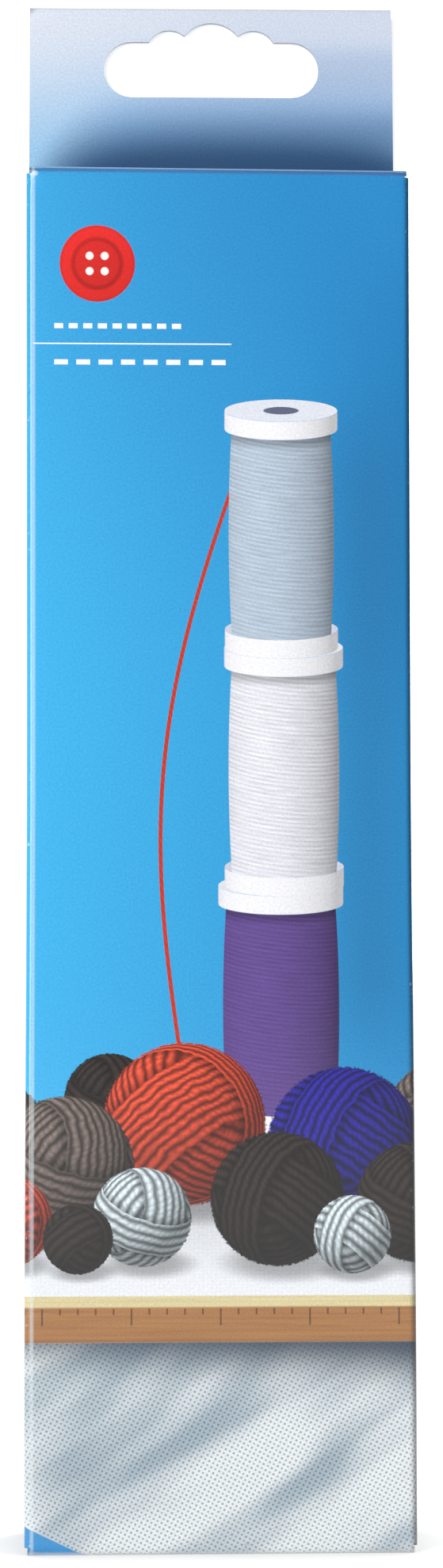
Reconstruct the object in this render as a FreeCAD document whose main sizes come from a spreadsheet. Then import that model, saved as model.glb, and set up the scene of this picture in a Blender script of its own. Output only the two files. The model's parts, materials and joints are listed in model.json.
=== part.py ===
import FreeCAD, Part
import os
import re

import Sketcher

# Hanging carton, folded and glued from one die-cut sheet of printed board.
#
# The tube of four walls is closed at both ends by a lid that hinges on the front wall's crease
# and tucks inside the back wall. The back wall runs on upwards as a hang tab, folded over and
# glued to itself, with a scalloped slot for a display hook. Inside each end two dust flaps
# fold in from the side walls, under the lid.
#
# Frame: +Z up, the front wall faces -Y, the origin is at the middle of the carton's bottom.
# All sizes are in millimetres.

SIZES = {
    # board and tube
    "board": 0.4,
    "width": 55.0,
    "depth": 26.0,
    "height": 195.0,
    "crease_radius": 0.9,
    "crease_land": 0.1,
    "glue_flap_width": 12.0,
    "glue_flap_bevel": 3.0,
    "seam_gap": 0.1,
    # hang tab and its slot
    "tab_height": 28.2,
    "tab_side_inset": 0.3,
    "tab_side_taper": 0.15,
    "tab_fold_radius": 0.35,
    "front_ply_start": 0.5,
    "slot_width": 31.75,
    "slot_height": 8.2,
    "slot_below_top": 5.0,
    "hook_round_radius": 5.0,
    "hook_round_rise": 2.85,
    "side_round_radius": 3.4,
    "side_round_rise": 1.76,
    "side_round_offset": 6.2,
    # lids with their tuck tongues
    "lid_side_clearance": 0.45,
    "lid_rear_clearance": 0.25,
    "tongue_length": 12.0,
    "tongue_angle": 15.0,
    "tongue_side_inset": 1.0,
    "tongue_corner_radius": 5.0,
    "slit_length": 5.0,
    # dust flaps
    "dust_length": 18.0,
    "dust_shoulder": 4.5,
    "dust_front_taper": 3.0,
    "dust_rear_taper": 4.0,
    "dust_corner_radius": 2.5,
    "dust_edge_gap": 0.3,
    "dust_lid_clearance": 0.1,
}

# Places that several features share, worked out from the sizes.
INNER_RADIUS = "(crease_radius - board)"
WALL_END = "(crease_radius + crease_land)"
DUST_FACE = "(board + dust_lid_clearance)"
DUST_CREASE_END = "(board + dust_lid_clearance + crease_radius + crease_land)"
SEAM_EDGE = "(crease_radius + seam_gap - width / 2)"
REAR_CREASE_CENTRE = "(depth / 2 - 2 * board - lid_rear_clearance - crease_radius)"
LID_REAR = "(%s + crease_radius / tan(45 - tongue_angle / 2))" % REAR_CREASE_CENTRE
DUST_FRONT = "(crease_radius + dust_edge_gap - depth / 2)"
DUST_REAR = "(%s - dust_edge_gap)" % REAR_CREASE_CENTRE
TAB_TOP = "(height + tab_height)"
SLOT_TOP = "(height + tab_height - slot_below_top)"

doc = FreeCAD.newDocument("hanging_carton")

sheet = doc.addObject("Spreadsheet::Sheet", "Sizes")
for row, (alias, value) in enumerate(SIZES.items(), start=1):
    cell = "B%d" % row
    sheet.set("A%d" % row, alias)
    sheet.set(cell, str(value))
    sheet.setAlias(cell, alias)
doc.recompute()


def bound(text):
    """The expression with each size's name pointing at its cell in the sheet."""
    return re.sub(r"\b(%s)\b" % "|".join(SIZES), r"Sizes.\1", text)


def value_of(text):
    """What an expression on the sizes comes to, in millimetres."""
    return float(sheet.evalExpression(text))


def level(end, below):
    """Height of a place that lies so far inside the top end or the bottom end of the carton."""
    return "height - (%s)" % below if end == "top" else "(%s)" % below


def new_body(label):
    body = doc.addObject("PartDesign::Body", label)
    body.Label = label
    return body


def new_sketch(body, name, plane, shift="0"):
    """An empty sketch on one of the body's origin planes, moved along the plane's normal."""
    sketch = body.newObject("Sketcher::SketchObject", name)
    support = [f for f in body.Origin.OriginFeatures if f.Role == plane][0]
    sketch.AttachmentSupport = [(support, "")]
    sketch.MapMode = "FlatFace"
    sketch.setExpression("AttachmentOffset.Base.z", bound(shift))
    return sketch


def fix_point(sketch, name, geometry, end, x, y):
    """Holds one point of a sketch at the two expressions."""
    for axis, kind, text in (("x", "DistanceX", x), ("y", "DistanceY", y)):
        index = sketch.addConstraint(
            Sketcher.Constraint(kind, -1, 1, geometry, end, value_of(text)))
        sketch.renameConstraint(index, name + axis)
        sketch.setExpression("Constraints." + name + axis, bound(text))


def add_loop(sketch, prefix, corners):
    """A closed loop of straight edges. A corner is (x, y) or (x, y, radius), in expressions."""
    first = sketch.GeometryCount
    count = len(corners)
    places = [FreeCAD.Vector(value_of(c[0]), value_of(c[1]), 0) for c in corners]
    for i in range(count):
        sketch.addGeometry(Part.LineSegment(places[i - 1], places[i]), False)
    for i in range(count):
        sketch.addConstraint(
            Sketcher.Constraint("Coincident", first + i, 2, first + (i + 1) % count, 1))
        fix_point(sketch, "%s%d" % (prefix, i), first + i, 2, corners[i][0], corners[i][1])
    for i, corner in enumerate(corners):
        if len(corner) == 3:
            round_corner(sketch, "%s%dr" % (prefix, i), first + i, corner[2])


def round_corner(sketch, name, line, radius):
    """Rounds the corner at the end of a line with an arc of the given radius."""
    sketch.fillet(line, 2, value_of(radius), True, True)
    arcs = [i for i, g in enumerate(sketch.Geometry) if isinstance(g, Part.ArcOfCircle)]
    index = sketch.addConstraint(Sketcher.Constraint("Radius", arcs[-1], value_of(radius)))
    sketch.renameConstraint(index, name)
    sketch.setExpression("Constraints." + name, bound(radius))


def outline(body, name, plane, *loops, shift="0"):
    sketch = new_sketch(body, name + "_sketch", plane, shift)
    for i, corners in enumerate(loops):
        add_loop(sketch, "p%d_" % i, corners)
    return sketch


def circle(body, name, plane, x, y, radius, shift="0"):
    sketch = new_sketch(body, name + "_sketch", plane, shift)
    centre = FreeCAD.Vector(value_of(x), value_of(y), 0)
    up = FreeCAD.Vector(0, 0, 1)
    sketch.addGeometry(Part.Circle(centre, up, value_of(radius)), False)
    fix_point(sketch, "centre_", 0, 3, x, y)
    index = sketch.addConstraint(Sketcher.Constraint("Radius", 0, value_of(radius)))
    sketch.renameConstraint(index, "radius")
    sketch.setExpression("Constraints.radius", bound(radius))
    return sketch


def pad(body, name, sketch, length, both_ways=False):
    feature = body.newObject("PartDesign::Pad", name)
    feature.Profile = sketch
    feature.Midplane = both_ways
    feature.setExpression("Length", bound(length))
    sketch.Visibility = False
    doc.recompute()
    return feature


def pocket(body, name, sketch, length, both_ways=False, towards_normal=False):
    """Cuts the sketch's outline out of the body and makes sure that it met board."""
    before = body.Shape.Volume
    feature = body.newObject("PartDesign::Pocket", name)
    feature.Profile = sketch
    feature.Midplane = both_ways
    feature.Reversed = towards_normal
    feature.setExpression("Length", bound(length))
    sketch.Visibility = False
    doc.recompute()
    if feature.Shape.Volume >= before:
        raise ValueError(name + " cuts nothing")
    return feature


# The crease of each lid is a quarter ring, split at its middle, where the hinge line lies on the
# outer face. Its lower half stays on the front wall and its upper half belongs to the lid.

def crease_half(end, lid):
    """Outline of what is cut away beside the split, in the side view, as (y, z) corners."""
    centre = ("crease_radius - depth / 2", level(end, "crease_radius"))
    outside = ("-crease_radius - depth / 2", level(end, "-crease_radius"))
    if lid:
        return [centre, outside,
                ("-crease_radius - depth / 2", level(end, "3 * crease_radius")),
                ("crease_radius - depth / 2", level(end, "3 * crease_radius"))]
    return [centre, outside,
            ("3 * crease_radius - depth / 2", level(end, "-crease_radius")),
            ("3 * crease_radius - depth / 2", level(end, "crease_radius"))]


# Carton body

def make_walls(body):
    """Four walls with rounded upright creases. The glue flap folds in behind the back wall."""
    outer = [
        (SEAM_EDGE, "depth / 2"),
        (SEAM_EDGE, "depth / 2 - board"),
        ("-width / 2", "depth / 2 - board", "crease_radius"),
        ("-width / 2", "-depth / 2", "crease_radius"),
        ("width / 2", "-depth / 2", "crease_radius"),
        ("width / 2", "depth / 2", "crease_radius"),
    ]
    inner = [
        ("glue_flap_width - width / 2", "depth / 2 - board"),
        ("glue_flap_width - width / 2", "depth / 2 - 2 * board"),
        ("board - width / 2", "depth / 2 - 2 * board", INNER_RADIUS),
        ("board - width / 2", "board - depth / 2", INNER_RADIUS),
        ("width / 2 - board", "board - depth / 2", INNER_RADIUS),
        ("width / 2 - board", "depth / 2 - board", INNER_RADIUS),
    ]
    section = outline(body, "walls", "XY_Plane", outer, inner, shift=WALL_END)
    pad(body, "walls", section, "height - 2 * " + WALL_END)


def bevel_glue_flap(body):
    """The glue flap's two ends slope, so that it slides under the back wall."""
    root = "crease_radius - width / 2"
    edge = "glue_flap_width - width / 2"
    past_edge = "glue_flap_width + board - width / 2"
    for end in ("top", "bottom"):
        corners = [
            (root, level(end, WALL_END)),
            (edge, level(end, WALL_END + " + glue_flap_bevel")),
            (past_edge, level(end, WALL_END + " + glue_flap_bevel")),
            (past_edge, level(end, "0")),
            (root, level(end, "0")),
        ]
        sketch = outline(body, "glue_flap_bevel_" + end, "XZ_Plane", corners)
        pocket(body, "glue_flap_bevel_" + end, sketch, "depth / 2 - board")


def make_front_crease(body, end):
    """The front wall's half of the crease that carries a lid."""
    name = "front_crease_" + end
    corners = [
        ("-depth / 2", level(end, WALL_END)),
        ("-depth / 2", level(end, "0"), "crease_radius"),
        ("2 * crease_radius - depth / 2", level(end, "0")),
        ("2 * crease_radius - depth / 2", level(end, "board")),
        ("board - depth / 2", level(end, "board"), INNER_RADIUS),
        ("board - depth / 2", level(end, WALL_END)),
    ]
    profile = outline(body, name, "YZ_Plane", corners)
    pad(body, name, profile, "width - 2 * lid_side_clearance", both_ways=True)
    split = outline(body, name + "_split", "YZ_Plane", crease_half(end, lid=False))
    pocket(body, name + "_split", split, "width", both_ways=True)


def clear_dust_creases(body):
    """The side walls end lower than the others, by the board that folds in under the lid."""
    for end in ("top", "bottom"):
        corners = [
            (DUST_FRONT, level(end, DUST_CREASE_END)),
            (DUST_REAR, level(end, DUST_CREASE_END)),
            (DUST_REAR, level(end, "0")),
            (DUST_FRONT, level(end, "0")),
        ]
        sketch = outline(body, "dust_crease_room_" + end, "YZ_Plane", corners)
        pocket(body, "dust_crease_room_" + end, sketch, "width", both_ways=True)


def make_dust_flap(body, end, side):
    """One dust flap: its crease on the side wall, then a tapered blade with round corners."""
    name = "dust_flap_%s_%s" % (end, "right" if side > 0 else "left")

    def across(inwards):
        return "%d * (width / 2 - (%s))" % (side, inwards)

    crease = [
        (across("0"), level(end, DUST_CREASE_END)),
        (across("0"), level(end, DUST_FACE), "crease_radius"),
        (across("dust_shoulder"), level(end, DUST_FACE)),
        (across("dust_shoulder"), level(end, DUST_FACE + " + board")),
        (across("board"), level(end, DUST_FACE + " + board"), INNER_RADIUS),
        (across("board"), level(end, DUST_CREASE_END)),
    ]
    profile = outline(body, name + "_crease", "XZ_Plane", crease, shift="-" + DUST_REAR)
    pad(body, name + "_crease", profile, DUST_REAR + " - " + DUST_FRONT)
    blade = [
        (across("crease_radius + crease_land"), DUST_FRONT),
        (across("dust_shoulder"), DUST_FRONT),
        (across("dust_length"), DUST_FRONT + " + dust_front_taper", "dust_corner_radius"),
        (across("dust_length"), DUST_REAR + " - dust_rear_taper", "dust_corner_radius"),
        (across("dust_shoulder"), DUST_REAR),
        (across("crease_radius + crease_land"), DUST_REAR),
    ]
    lowest = DUST_FACE + (" + board" if end == "top" else "")
    plan = outline(body, name, "XY_Plane", blade, shift=level(end, lowest))
    pad(body, name, plan, "board")


def make_back_foot(body):
    """The back wall's plain cut end, which reaches down past the bottom lid."""
    corners = [
        (SEAM_EDGE, "0"),
        ("width / 2 - crease_radius", "0"),
        ("width / 2 - crease_radius", WALL_END),
        (SEAM_EDGE, WALL_END),
    ]
    sketch = outline(body, "back_foot", "XZ_Plane", corners, shift="-depth / 2")
    pad(body, "back_foot", sketch, "board")


def make_hang_tab(body):
    """The back wall runs up, folds over at the top and comes down again as the front ply."""
    profile = [
        ("depth / 2", level("top", WALL_END)),
        ("depth / 2", TAB_TOP, "tab_fold_radius"),
        ("depth / 2 - 2 * board", TAB_TOP, "tab_fold_radius"),
        ("depth / 2 - 2 * board", "height + front_ply_start"),
        ("depth / 2 - board", "height + front_ply_start"),
        ("depth / 2 - board", level("top", WALL_END)),
    ]
    sketch = outline(body, "hang_tab", "YZ_Plane", profile)
    pad(body, "hang_tab", sketch, "width - 2 * tab_side_inset", both_ways=True)
    for side in (-1, 1):
        corners = [
            ("%d * (width / 2 - tab_side_inset)" % side, "height"),
            ("%d * (width / 2 - tab_side_inset - tab_side_taper)" % side, TAB_TOP),
            ("%d * width / 2" % side, TAB_TOP),
            ("%d * width / 2" % side, "height"),
        ]
        name = "tab_taper_" + ("right" if side > 0 else "left")
        taper = outline(body, name, "XZ_Plane", corners, shift="-depth / 2")
        pocket_towards_front(body, name, taper)


def pocket_towards_front(body, name, sketch):
    """Cuts through both plies of the tab, from its back face."""
    pocket(body, name, sketch, "2 * board", towards_normal=True)


def cut_hang_slot(body):
    """A slot with round ends, whose upper edge has a round for the hook and one on each side."""
    straight = "(slot_width - slot_height) / 2"
    corners = [
        ("-" + straight, SLOT_TOP),
        (straight, SLOT_TOP),
        (straight, SLOT_TOP + " - slot_height"),
        ("-" + straight, SLOT_TOP + " - slot_height"),
    ]
    sketch = outline(body, "slot", "XZ_Plane", corners, shift="-depth / 2")
    pocket_towards_front(body, "slot", sketch)
    rounds = {
        "hook_round": ("0", SLOT_TOP + " + hook_round_rise - hook_round_radius", "hook_round_radius"),
    }
    for word, sign in (("left", "-"), ("right", "")):
        rounds["slot_end_" + word] = (
            sign + straight, SLOT_TOP + " - slot_height / 2", "slot_height / 2")
        rounds["side_round_" + word] = (
            sign + "side_round_offset", SLOT_TOP + " + side_round_rise - side_round_radius",
            "side_round_radius")
    for name, (x, z, radius) in rounds.items():
        sketch = circle(body, name, "XZ_Plane", x, z, radius, shift="-depth / 2")
        pocket_towards_front(body, name, sketch)


def make_carton_body():
    body = new_body("carton_body")
    make_walls(body)
    bevel_glue_flap(body)
    clear_dust_creases(body)
    make_back_foot(body)
    for end in ("top", "bottom"):
        make_front_crease(body, end)
        for side in (-1, 1):
            make_dust_flap(body, end, side)
    make_hang_tab(body)
    cut_hang_slot(body)
    return body


# Lids

def make_lid(end):
    """A lid with its half of the front crease, and the tuck tongue behind its rear crease.

    The tongue slants inwards, so that it clears the back wall when the lid swings open.
    """
    body = new_body(end + "_flap")
    run = "tongue_length * sin(tongue_angle)"
    drop = "tongue_length * cos(tongue_angle)"
    profile = [
        ("-depth / 2", level(end, "2 * crease_radius")),
        ("-depth / 2", level(end, "0"), "crease_radius"),
        (LID_REAR, level(end, "0"), "crease_radius"),
        (LID_REAR + " - " + run, level(end, drop)),
        (LID_REAR + " - " + run + " - board * cos(tongue_angle)",
         level(end, drop + " - board * sin(tongue_angle)")),
        (LID_REAR + " - board * (1 + sin(tongue_angle)) / cos(tongue_angle)",
         level(end, "board"), INNER_RADIUS),
        ("board - depth / 2", level(end, "board"), INNER_RADIUS),
        ("board - depth / 2", level(end, "2 * crease_radius")),
    ]
    sketch = outline(body, "lid_" + end, "YZ_Plane", profile)
    pad(body, "lid_" + end, sketch, "width - 2 * lid_side_clearance", both_ways=True)
    split = outline(body, "lid_split_" + end, "YZ_Plane", crease_half(end, lid=True))
    pocket(body, "lid_split_" + end, split, "width", both_ways=True)
    trim_tongue(body, end, drop)
    cut_slit_locks(body, end)
    return body


def trim_tongue(body, end, drop):
    """The tongue is narrower than the lid and has round corners, so that it finds its way in."""
    for side in (-1, 1):
        def across(outwards):
            return "%d * (width / 2 - lid_side_clearance + (%s))" % (side, outwards)

        edge = across("-tongue_side_inset")
        inside = across("-tongue_side_inset - 2 * tongue_corner_radius")
        corners = [
            (edge, level(end, WALL_END)),
            (edge, level(end, drop), "tongue_corner_radius"),
            (inside, level(end, drop)),
            (inside, level(end, drop + " + board")),
            (across("board"), level(end, drop + " + board")),
            (across("board"), level(end, WALL_END)),
        ]
        name = "tongue_edge_%s_%s" % (end, "right" if side > 0 else "left")
        sketch = outline(body, name, "XZ_Plane", corners)
        pocket(body, name, sketch, "2 * depth", both_ways=True)


def cut_slit_locks(body, end):
    """A slit at each end of the rear crease leaves a shoulder that catches on the dust flap."""
    for side in (-1, 1):
        def across(outwards):
            return "%d * (width / 2 - lid_side_clearance + (%s))" % (side, outwards)

        corners = [
            (across("-slit_length"), REAR_CREASE_CENTRE),
            (across("board"), REAR_CREASE_CENTRE),
            (across("board"), LID_REAR),
            (across("-slit_length"), LID_REAR),
        ]
        name = "slit_lock_%s_%s" % (end, "right" if side > 0 else "left")
        sketch = outline(body, name, "XY_Plane", corners, shift=level(end, "0"))
        pocket(body, name, sketch, "2 * " + WALL_END, both_ways=True)


sub_parts = [make_carton_body(), make_lid("top"), make_lid("bottom")]
doc.recompute()

for item in doc.Objects:
    if "Invalid" in item.State or "Error" in item.State:
        raise RuntimeError(item.Label + " failed to build")
for piece in sub_parts:
    if piece.Shape.isNull() or not piece.Shape.isValid() or len(piece.Shape.Solids) != 1:
        raise RuntimeError(piece.Label + " is not one valid solid")

os.makedirs("parts", exist_ok=True)
for piece in sub_parts:
    piece.Shape.exportStep("parts/%s.step" % piece.Label)
    box = piece.Shape.BoundBox
    print("%s: %.2f cubic mm, x %.2f to %.2f, y %.2f to %.2f, z %.2f to %.2f" % (
        piece.Label, piece.Shape.Volume, box.XMin, box.XMax, box.YMin, box.YMax, box.ZMin, box.ZMax))
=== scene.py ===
# %% [markdown]
# # A printed hanging carton, folded from one sheet of board
#
# The real carton is cut from a flat sheet by a steel die, creased, folded and glued. This lesson
# goes the same way: it cuts a flat blank, lets Geometry Nodes fold it over its creases, and prints
# on it with shader nodes that read places on the flat blank. So the print runs round the creases
# without a break, just as ink does.
#
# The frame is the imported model. Its three nodes are the carton's body and its two lids, and every
# length below starts from their boxes.

# %% Load the frame
import json
import math

import bmesh
import bpy
from mathutils import Matrix, Vector
from mathutils.geometry import delaunay_2d_cdt


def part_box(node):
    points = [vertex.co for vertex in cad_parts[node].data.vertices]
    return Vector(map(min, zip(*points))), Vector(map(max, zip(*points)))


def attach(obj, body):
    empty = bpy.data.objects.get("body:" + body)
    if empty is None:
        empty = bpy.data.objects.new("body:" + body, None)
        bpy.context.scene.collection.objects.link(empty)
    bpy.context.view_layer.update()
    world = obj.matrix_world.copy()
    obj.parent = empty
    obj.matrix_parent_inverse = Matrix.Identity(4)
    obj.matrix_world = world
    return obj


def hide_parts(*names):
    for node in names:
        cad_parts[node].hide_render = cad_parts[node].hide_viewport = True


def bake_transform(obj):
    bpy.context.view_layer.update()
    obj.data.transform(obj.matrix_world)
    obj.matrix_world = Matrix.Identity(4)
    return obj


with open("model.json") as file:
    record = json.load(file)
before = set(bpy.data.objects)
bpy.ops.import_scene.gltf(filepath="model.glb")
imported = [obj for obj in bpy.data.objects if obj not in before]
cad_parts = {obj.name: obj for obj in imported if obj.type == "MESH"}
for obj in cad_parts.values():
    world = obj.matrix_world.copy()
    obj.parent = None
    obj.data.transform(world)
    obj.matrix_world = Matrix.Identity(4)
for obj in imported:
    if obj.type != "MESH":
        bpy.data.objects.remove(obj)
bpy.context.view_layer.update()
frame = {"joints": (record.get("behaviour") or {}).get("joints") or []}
MM = 0.001


def in_mm(box):
    return tuple(Vector(round(value / MM, 4) for value in corner) for corner in box)


body_low, body_high = in_mm(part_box("carton_body"))
lid_low, lid_high = in_mm(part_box("top_flap"))
print("body", body_low[:], body_high[:], "lid", lid_low[:], lid_high[:])

# %% [markdown]
# ## The driving sizes
#
# A carton maker's drawing gives the panels, the board and the crease radius. The panels come from
# the frame. The crease radius does too: the lid's hinge line lies on the outer face at the middle
# of its crease, so its distance from the front face gives the radius.

# %% Sizes in millimetres
BOARD = 0.4
WIDTH = 2 * body_high.x
DEPTH = body_high.y - body_low.y
HEIGHT = lid_high.z
TAB_TOP = body_high.z

hinge = next(j for j in frame["joints"] if j["name"] == "top_flap_hinge")["pos_m"]
CREASE = (hinge[1] / MM - body_low.y) / (1 - math.cos(math.radians(45)))
CLEARANCE = 0.1
WALL_END = CREASE + CLEARANCE
LID_HALF = lid_high.x
GLUE_FLAP = 12.0
print("carton %.2f by %.2f by %.2f mm, crease radius %.3f mm" % (WIDTH, DEPTH, HEIGHT, CREASE))

# Flat lengths along the blank, from the middle of the front panel.
QUARTER = CREASE * math.pi / 2
FRONT = WIDTH / 2 - CREASE
RIGHT_START = FRONT + QUARTER
RIGHT_END = RIGHT_START + DEPTH - 2 * CREASE
BACK_START = RIGHT_END + QUARTER
BACK_END = BACK_START + 2 * FRONT - CLEARANCE
LEFT_END = RIGHT_START + DEPTH - 2 * CREASE - BOARD
GLUE_START = LEFT_END + QUARTER
GLUE_END = GLUE_START + GLUE_FLAP - CREASE

# %% [markdown]
# ## A small way to write node maths
#
# Node trees get long when each Math node is made by hand. The class Socket lets Python's own
# operators add those nodes, so that a mask reads like the formula it is. All other nodes come
# from one method, which sets a node's settings first and then its sockets.

# %% Maths on sockets
class Socket:
    """A node's output. Python's operators on it add Math nodes to its tree."""

    def __init__(self, nodes, output):
        self.nodes, self.output = nodes, output

    def other(self, name):
        """Another output of the same node."""
        return Socket(self.nodes, self.output.node.outputs[name])

    def maths(self, operation, *values):
        inputs = dict(enumerate((self,) + values))
        return self.nodes.add("ShaderNodeMath", inputs, operation=operation)

    def adds(operation):
        """A method that adds a Math node with this operation."""
        return lambda self, *values: self.maths(operation, *values)

    __add__ = __radd__ = adds("ADD")
    __sub__ = adds("SUBTRACT")
    __mul__ = __rmul__ = adds("MULTIPLY")
    __truediv__ = adds("DIVIDE")
    __pow__ = adds("POWER")
    __abs__ = adds("ABSOLUTE")
    __gt__ = adds("GREATER_THAN")
    __lt__ = adds("LESS_THAN")
    sine = adds("SINE")
    cosine = adds("COSINE")

    def __rsub__(self, value):
        return (self * -1).maths("ADD", value)

    def root(self):
        return self.maths("MAXIMUM", 0).maths("SQRT")

    def capped(self):
        return self.maths("MAXIMUM", 0).maths("MINIMUM", 1)

    def step(self, start, end):
        """0 up to start, 1 from end on, and a smooth rise between them."""
        inputs = {"Value": self, "From Min": start, "From Max": end}
        return self.nodes.add("ShaderNodeMapRange", inputs, interpolation_type="SMOOTHSTEP")

    def between(self, low, high, soft):
        """1 where the value lies between low and high, with soft edges."""
        return self.step(low - soft, low + soft) * (1 - self.step(high - soft, high + soft))


# %% [markdown]
# The second class is a node tree that nodes are added to. It looks a socket up by name among those
# that are switched on, because a Mix or a Map Range node has hidden ones of the same name.

# %% Adding nodes
class Nodes:
    """Adds nodes to a tree, with their settings first and then their sockets."""

    def __init__(self, tree):
        self.tree = tree
        self.wool = None    # the noises that the yarn balls of a plate share

    def add(self, kind, inputs=None, **settings):
        node = self.tree.nodes.new(kind)
        for name, value in settings.items():
            setattr(node, name, value)
        for key, value in (inputs or {}).items():
            if isinstance(key, int):
                socket = node.inputs[key]
            else:
                socket = next(s for s in node.inputs if s.enabled and s.name == key)
            if isinstance(value, Socket):
                self.tree.links.new(value.output, socket)
            else:
                socket.default_value = value
        shown = [s for s in node.outputs if s.enabled]
        return Socket(self, shown[0]) if shown else node

    def mix(self, factor, a, b):
        """Colour a where the factor is 0 and colour b where it is 1."""
        inputs = {"Factor": factor, "A": a, "B": b}
        return self.add("ShaderNodeMix", inputs, data_type="RGBA", clamp_factor=True)

    def vector(self, operation, a, b=None):
        inputs = {0: a} if b is None else {0: a, 1: b}
        return self.add("ShaderNodeVectorMath", inputs, operation=operation)

    def scaled(self, colour, factor):
        """A colour made lighter or darker, or any other vector longer or shorter, by a factor."""
        colour = colour[:3] if isinstance(colour, tuple) else colour
        return self.add("ShaderNodeVectorMath", {0: colour, "Scale": factor}, operation="SCALE")

    def combine(self, **parts):
        return self.add("ShaderNodeCombineXYZ", parts)

    def split(self, vector):
        """The vector's X, Y and Z."""
        x = self.add("ShaderNodeSeparateXYZ", {"Vector": vector})
        return x, x.other("Y"), x.other("Z")

    def noise(self, place, scale, detail=2.0):
        return self.add("ShaderNodeTexNoise", {"Vector": place, "Scale": scale, "Detail": detail})


# %% [markdown]
# ## Cutting the blank
#
# A die cuts the outline in one stroke. Here the outline is a closed list of places on the flat
# sheet, across as u and up as v, both in millimetres. The top and bottom edges are alike, apart
# from the hang tab, so one function walks along either. Small gaps stand for the die's cuts
# beside the flaps.

# %% Sizes and rounds of the outline
CUT = 0.12
DUST_FRONT = 0.3
DUST_REAR = lid_high.y - body_low.y - 2 * CREASE - DUST_FRONT
DUST_CREASE = HEIGHT - BOARD - CLEARANCE - CREASE
DUST_ROOT = DUST_CREASE + QUARTER
DUST_FLAP, DUST_STRAIGHT = 18.0, 4.5
DUST_TIP = DUST_ROOT + DUST_FLAP - CREASE
DUST_SHOULDER = DUST_ROOT + DUST_STRAIGHT - CREASE
FRONT_TAPER, REAR_TAPER, TIP_ROUND = 3.0, 4.0, 2.5
GLUE_TAPER = 3.0
LID_CREASE = HEIGHT - CREASE
LID_ROOT = 0.6
LID_SPLIT = LID_CREASE - LID_ROOT
WALL_TOP = HEIGHT - WALL_END


def arc(u, v, radius, start, end, steps=8):
    """Points on a circle about (u, v), from one angle to another, in degrees."""
    turns = [math.radians(start + (end - start) * i / steps) for i in range(steps + 1)]
    return [(u + radius * math.cos(a), v + radius * math.sin(a)) for a in turns]


def rounded(before, corner, after, radius, steps=6):
    """The corner's points when it is rounded with the given radius."""
    c = Vector(corner)
    to_before, to_after = (Vector(before) - c).normalized(), (Vector(after) - c).normalized()
    half = to_before.angle(to_after) / 2
    centre = c + (to_before + to_after).normalized() * radius / math.sin(half)
    first = c + to_before * radius / math.tan(half) - centre
    last = c + to_after * radius / math.tan(half) - centre
    points = []
    for i in range(steps + 1):
        spoke = first.slerp(last, i / steps)
        points.append(tuple(centre + spoke.normalized() * radius))
    return points


# %% [markdown]
# A dust flap is cut free on both sides, tapers towards its tip so that it slips in easily, and has
# rounded corners. One function draws it for the right side panel and, mirrored, for the left.

# %% Dust flaps and the ends
def dust_flap(side, top):
    """A dust flap's edge in order of growing u, on the right (1) or the left (-1) side panel."""
    def at(y, v):
        return (side * (RIGHT_START + y), v)

    front_tip, rear_tip = at(DUST_FRONT + FRONT_TAPER, DUST_TIP), at(DUST_REAR - REAR_TAPER, DUST_TIP)
    front_shoulder, rear_shoulder = at(DUST_FRONT, DUST_SHOULDER), at(DUST_REAR, DUST_SHOULDER)
    points = [at(DUST_FRONT - CUT, top), at(DUST_FRONT - CUT, DUST_CREASE),
              at(DUST_FRONT, DUST_CREASE), front_shoulder]
    points += rounded(front_shoulder, front_tip, rear_tip, TIP_ROUND)
    points += rounded(front_tip, rear_tip, rear_shoulder, TIP_ROUND)
    points += [rear_shoulder, at(DUST_REAR, DUST_CREASE), at(DUST_REAR + CUT, DUST_CREASE),
               at(DUST_REAR + CUT, top)]
    return points if side > 0 else points[::-1]


def end_edge():
    """The edge along one end, from the glue flap to the back panel, as at the top."""
    glue = [(-GLUE_END, WALL_TOP - GLUE_TAPER), (-GLUE_START, WALL_TOP)]
    left, right = dust_flap(-1, WALL_TOP), dust_flap(1, WALL_TOP)
    front = [(-FRONT, WALL_TOP), (-FRONT, LID_SPLIT), (FRONT, LID_SPLIT), (FRONT, WALL_TOP)]
    return glue + left + front + right + [(BACK_START, WALL_TOP)]


# %% [markdown]
# The hang tab is the back panel run on, folded over at the top and brought down in front. So the
# blank has the tab's length twice, and the fold lies in the middle of it.

# %% The hang tab and the whole outline
PLY_GAP = 0.04
TAB_FOLD = BOARD + PLY_GAP / 2
TAB_CREASE = TAB_TOP - TAB_FOLD
TAB_TURN = TAB_FOLD * math.pi
TAB_START, TAB_INSET, TAB_TAPER = 0.5, 0.3, 0.15
TAB_END = TAB_CREASE + TAB_TURN + TAB_CREASE - (HEIGHT + TAB_START)
TAB_MIDDLE = BACK_START + FRONT
TAB_BASE = WIDTH / 2 - TAB_INSET
TAB_TIP = TAB_BASE - TAB_TAPER


def tab_edge():
    """The tab's edge, from the back panel's right corner round to its free left edge."""
    half = TAB_TURN / 2
    right = [(-TAB_BASE, WALL_TOP + CUT), (-TAB_BASE, HEIGHT), (-TAB_TIP, TAB_CREASE + half),
             (-TAB_BASE, TAB_END)]
    left = [(-u, v) for u, v in reversed(right)]
    return [(TAB_MIDDLE + u, v) for u, v in right + left]


top_edge = end_edge() + [(BACK_START, WALL_TOP + CUT)] + tab_edge() + [(BACK_END, WALL_TOP + CUT)]
bottom_edge = [(u, HEIGHT - v) for u, v in end_edge()] + [(BACK_START, 0.0), (BACK_END, 0.0)]
carton_outline = bottom_edge + top_edge[::-1]
print("the blank's outline has", len(carton_outline), "corners")

# %% [markdown]
# The hang slot goes through both plies, so the blank has it twice, once as a mirror image beyond
# the fold. Its upper edge carries a round for a single hook and a smaller one on each side. The
# places where two rounds meet are worked out, and the edge is walked arc by arc.

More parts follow.
